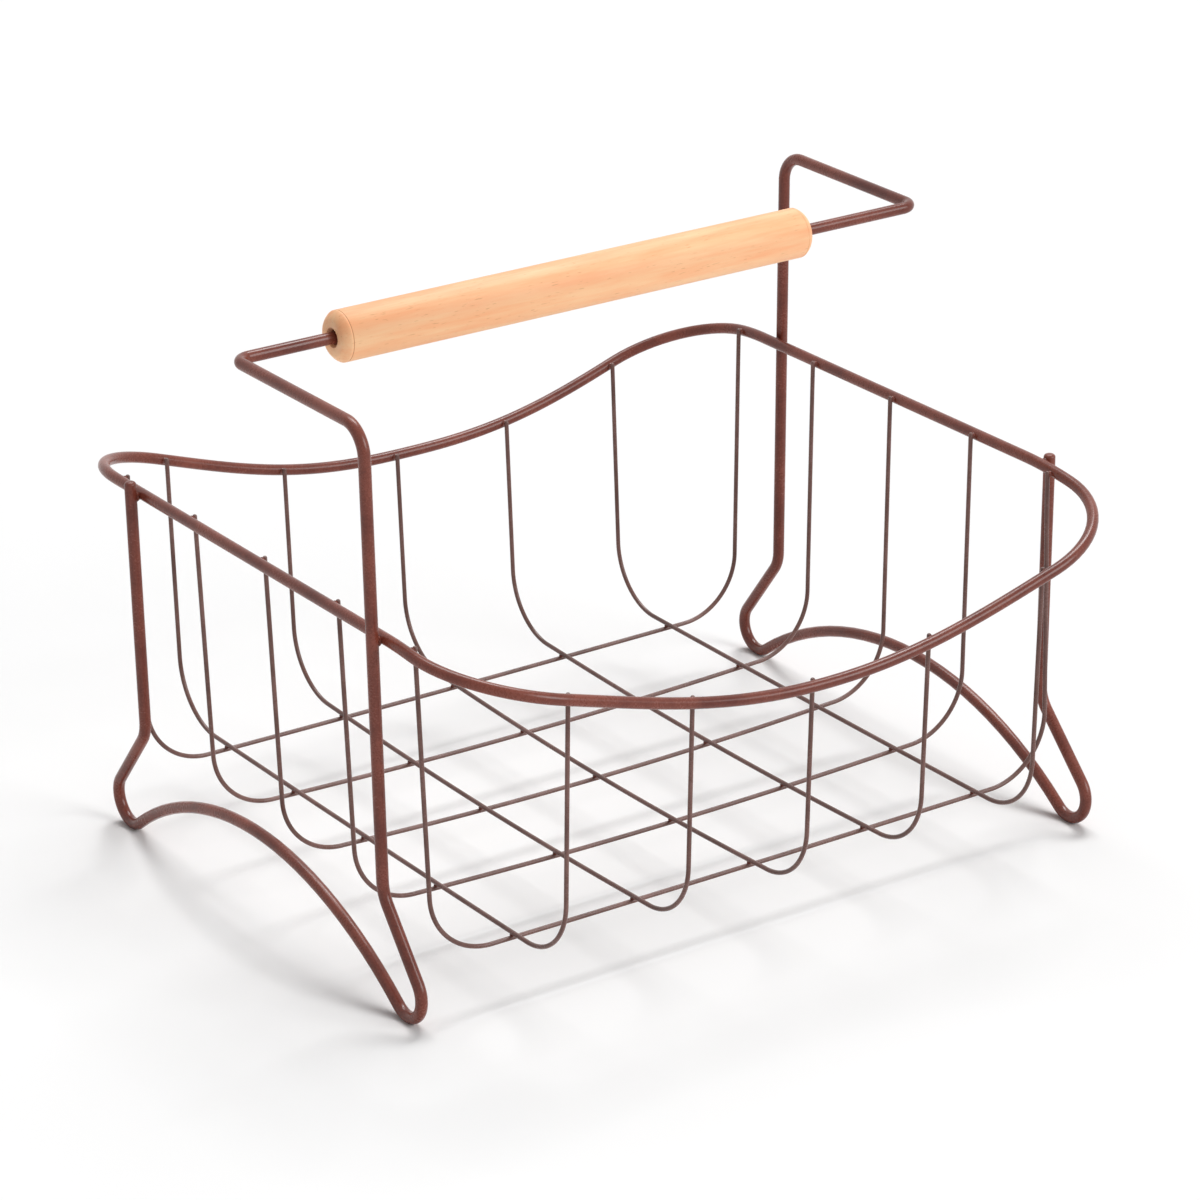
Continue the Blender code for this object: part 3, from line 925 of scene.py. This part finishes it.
class BASKET_OT_welds(bpy.types.Operator):
    """Fill the weld of each floor crossing, each thin wire at the rim and each post at the rim"""

    bl_idname = "basket.welds"
    bl_label = "Welds"

    def floor_crossings(self):
        """Where the two layers of the floor cross."""
        mesh = settings().mesh
        return [
            (Vector((x, y, mesh.floor_height - floor_depth(x, y))), X_AXIS, Y_AXIS, Z_AXIS)
            for x in wire_places(mesh.crosswise_pitch)
            for y in wire_places(mesh.lengthwise_pitch)
        ]

    def rim_contacts(self):
        """Where the tips of the thin wires lie against the inside of the rim."""
        mesh = settings().mesh
        tips = []
        for index, y in enumerate(wire_places(mesh.lengthwise_pitch)):
            top_half, runs, turn = lengthwise_tops(y)
            for side, run, stray in zip((-1, 1), runs, (Vector(), right_stray(index))):
                tip = Vector((side * top_half, y, rim_height(run, y < 0) + mesh.tip)) + stray
                tips.append((tip, Vector((side * math.cos(turn), math.copysign(math.sin(turn), y), 0.0))))
        for x in wire_places(mesh.crosswise_pitch):
            top_half, run, turn = crosswise_tops(x)
            for side in (-1, 1):
                tip = Vector((x, side * top_half, rim_height(run, side < 0) + mesh.tip))
                tips.append((tip, Vector((math.copysign(math.sin(turn), x), side * math.cos(turn), 0.0))))
        drop = Z_AXIS * settings().welds.rim_drop
        return [
            (tip + normal * layer_step() - drop, Z_AXIS.cross(normal), Z_AXIS, normal)
            for tip, normal in tips
        ]

    def post_contacts(self):
        """Where the posts lie against the outside of the rim."""
        wires, rim, ends = settings().wires, settings().rim, settings().ends
        x = rim.length / 2 + (wires.rim_wire + wires.weld_gap) / 2
        y = ends.post_spacing / 2
        z = rim.height - settings().welds.post_drop
        return [
            (Vector((side_x * x, ends.shift + side_y * y, z)), Y_AXIS, Z_AXIS, X_AXIS * side_x)
            for side_x in (-1, 1)
            for side_y in (-1, 1)
        ]

    def execute(self, context):
        welds = settings().welds
        for name, radius, height, places in (
            ("floor_bead", welds.floor_radius, welds.floor_height, self.floor_crossings()),
            ("rim_bead", welds.rim_radius, welds.rim_height, self.rim_contacts()),
            ("post_bead", welds.post_radius, welds.post_height, self.post_contacts()),
        ):
            beads = copy_beads(weld_bead(name, radius, height), places)
            finish_piece(beads, "basket", [weld_paint()])
        return {"FINISHED"}


class BASKET_OT_grip(bpy.types.Operator):
    """Turn the wooden grip: draw its profile and spin it round the bar"""

    bl_idname = "basket.grip"
    bl_label = "Grip"

    def half_profile(self):
        """Right half of the profile, as (along, radius), from the bore to the side."""
        handle = settings().handle
        half, radius = handle.grip_length / 2, handle.grip_diameter / 2
        bore, mouth = bore_radius(), handle.grip_mouth
        bend_in, bend_out = MOUTH_BEND
        outline = [
            (half - mouth, bore),
            (half - mouth * bend_in, bore + mouth * bend_out),
            (half, bore + mouth),
        ]
        for i in range(GRIP_END_STEPS + 1):
            turn = math.pi / 2 * i / GRIP_END_STEPS
            along = max(math.cos(turn), 0.0) ** handle.end_power
            across = math.sin(turn) ** handle.end_power
            outline.append((half - handle.end_length * (1 - along), radius - handle.end_depth * (1 - across)))
        line = half - handle.line_place
        for offset, depth in ((0.5, 0.0), (0.0, handle.line_depth), (-0.5, 0.0)):
            outline.append((line + offset * handle.line_width, radius - depth))
        return outline

    def mark_painted_shade(self, grip, center):
        """Gives the bore, its mouths and the tool line at the left end the second finish, a darker wood that
        is painted shade.
        """
        handle = settings().handle
        left_line = center.x - handle.grip_length / 2 + handle.line_place
        mouth = bore_radius() + handle.grip_mouth * MOUTH_SHADE
        for face in grip.data.polygons:
            spoke = Vector((0.0, face.center.y, face.center.z - center.z))
            in_line = abs(face.center.x - left_line) < handle.line_width / 2
            face.material_index = 1 if spoke.length < mouth or in_line else 0

    def execute(self, context):
        finish, handle = settings().finish, settings().handle
        center = Vector((handle.grip_shift, 0.0, handle.height))
        right = self.half_profile()
        outline = right + [(-along, radius) for along, radius in reversed(right)]
        points = [center + Vector((along, 0.0, radius)) for along, radius in outline]
        grip = start_point("handle_grip_turned", points[0])
        for here, there in zip(points, points[1:] + points[:1]):
            feed(there - here)
        bpy.ops.mesh.select_all(action="SELECT")
        bpy.ops.mesh.remove_doubles(threshold=MERGE_DISTANCE)
        bpy.ops.mesh.spin(steps=GRIP_SIDES, angle=2 * math.pi, center=center, axis=X_AXIS)
        close_up()
        side = wood_material("pale_wood", finish.wood, finish.wood_ring, run=1.0, roughness=0.55, bump=0.12)
        # The second finish is darker wood, painted shade in the bore, its mouths and the left tool line.
        shade_finish = wood_material(
            "bore_wood", finish.bore_wood, finish.wood_pore, run=12.0, roughness=0.6, bump=0.25
        )
        finish_piece(grip, "grip", [side, shade_finish], ["handle_grip"])
        self.mark_painted_shade(grip, center)
        return {"FINISHED"}


class BASKET_OT_stage(bpy.types.Operator):
    """Set up the camera, the white floor and the studio light"""

    bl_idname = "basket.stage"
    bl_label = "Stage"

    def execute(self, context):
        stage = settings().stage
        scene = context.scene
        bpy.ops.object.select_all(action="DESELECT")
        bpy.ops.object.camera_add(location=stage.camera_place, rotation=stage.camera_turn)
        camera = context.object
        camera.name = "photo_camera"
        camera.data.sensor_width = SENSOR_WIDTH
        camera.data.lens = stage.lens
        camera.data.clip_end = VIEW_DEPTH
        scene.camera = camera

        bpy.ops.mesh.primitive_plane_add(size=stage.floor_size, location=(0, 0, 0))
        floor = context.object
        floor.name = "studio_floor"
        floor.data.materials.append(self.floor_material(stage))

        # These lamps shine alike from any place, so their places only keep them apart.
        self.hang_lamp("overhead_lamp", (0.6, 0.8, 2.5), stage.lamp_turn, stage.lamp, stage.lamp_spread)
        self.hang_lamp("back_lamp", (-0.4, 2.0, 1.8), stage.back_turn, stage.back, stage.back_spread)
        self.hang_lamp("fill_lamp", (1.0, -2.0, 1.4), stage.fill_turn, stage.fill, stage.fill_spread)

        world = scene.world or bpy.data.worlds.new("Studio")
        scene.world = world
        world.use_nodes = True
        self.light_world(world.node_tree, stage.sky)
        scene.view_settings.view_transform = "Standard"
        return {"FINISHED"}

    def hang_lamp(self, name, place, lamp_turn, strength, spread):
        bpy.ops.object.light_add(type="SUN", location=place, rotation=lamp_turn)
        lamp = bpy.context.object
        lamp.name = name
        lamp.data.energy = strength
        lamp.data.angle = spread

    def floor_material(self, stage):
        """Matt white floor."""
        material = bpy.data.materials.new("studio_floor")
        material.use_nodes = True
        tree = material.node_tree
        tree.nodes.remove(tree.nodes["Principled BSDF"])
        matt = node(tree, "BsdfDiffuse", (0, 300), Color=(*stage.floor, 1.0))
        tree.links.new(matt.outputs["BSDF"], tree.nodes["Material Output"].inputs["Surface"])
        return material

    def seen_directly(self, tree, path):
        """1 for rays from the camera and for those that a mirror or glass sends on."""
        value = path.outputs["Is Camera Ray"]
        for index, name in enumerate(("Is Glossy Ray", "Is Transmission Ray")):
            value = calculate(tree, (-700 + 200 * index, -350), "MAXIMUM", value, path.outputs[name])
        return value

    def light_world(self, tree, sky):
        """Even light all round, which looks white itself."""
        back = tree.nodes["Background"]
        back.inputs["Color"].default_value = (1.0, 1.0, 1.0, 1.0)
        path = node(tree, "LightPath", (-900, 0))
        level = remap(tree, (-300, 0), self.seen_directly(tree, path), to_low=sky)
        tree.links.new(level, back.inputs["Strength"])


class BASKET_PT_panel(bpy.types.Panel):
    """Steps and settings of the basket"""

    bl_idname = "BASKET_PT_panel"
    bl_label = "Wire Produce Basket"
    bl_space_type = "VIEW_3D"
    bl_region_type = "UI"
    bl_category = "Basket"

    def draw(self, context):
        column = self.layout.column(align=True)
        for operator in OPERATORS:
            column.operator(operator.bl_idname)
        basket = context.scene.basket
        for group in GROUPS:
            box = self.layout.box()
            box.label(text=group.capitalize())
            part = getattr(basket, group)
            for name in part.__annotations__:
                box.prop(part, name)


GROUPS = ("wires", "rim", "mesh", "welds", "ends", "handle", "finish", "stage")
OPERATORS = (
    BASKET_OT_frame_wire,
    BASKET_OT_rim_wire,
    BASKET_OT_lengthwise_wires,
    BASKET_OT_crosswise_wires,
    BASKET_OT_welds,
    BASKET_OT_grip,
    BASKET_OT_stage,
)
CLASSES = (
    BasketWires,
    BasketRim,
    BasketMesh,
    BasketWelds,
    BasketEnds,
    BasketHandle,
    BasketFinish,
    BasketStage,
    BasketSettings,
    *OPERATORS,
    BASKET_PT_panel,
)


def register():
    for made in CLASSES:
        bpy.utils.register_class(made)
    bpy.types.Scene.basket = PointerProperty(type=BasketSettings)


def unregister():
    del bpy.types.Scene.basket
    for made in reversed(CLASSES):
        bpy.utils.unregister_class(made)


def main():
    register()
    bpy.ops.basket.frame_wire()
    bpy.ops.basket.rim_wire()
    bpy.ops.basket.lengthwise_wires()
    bpy.ops.basket.crosswise_wires()
    bpy.ops.basket.welds()
    bpy.ops.basket.grip()
    bpy.ops.basket.stage()


if __name__ == "__main__":
    main()
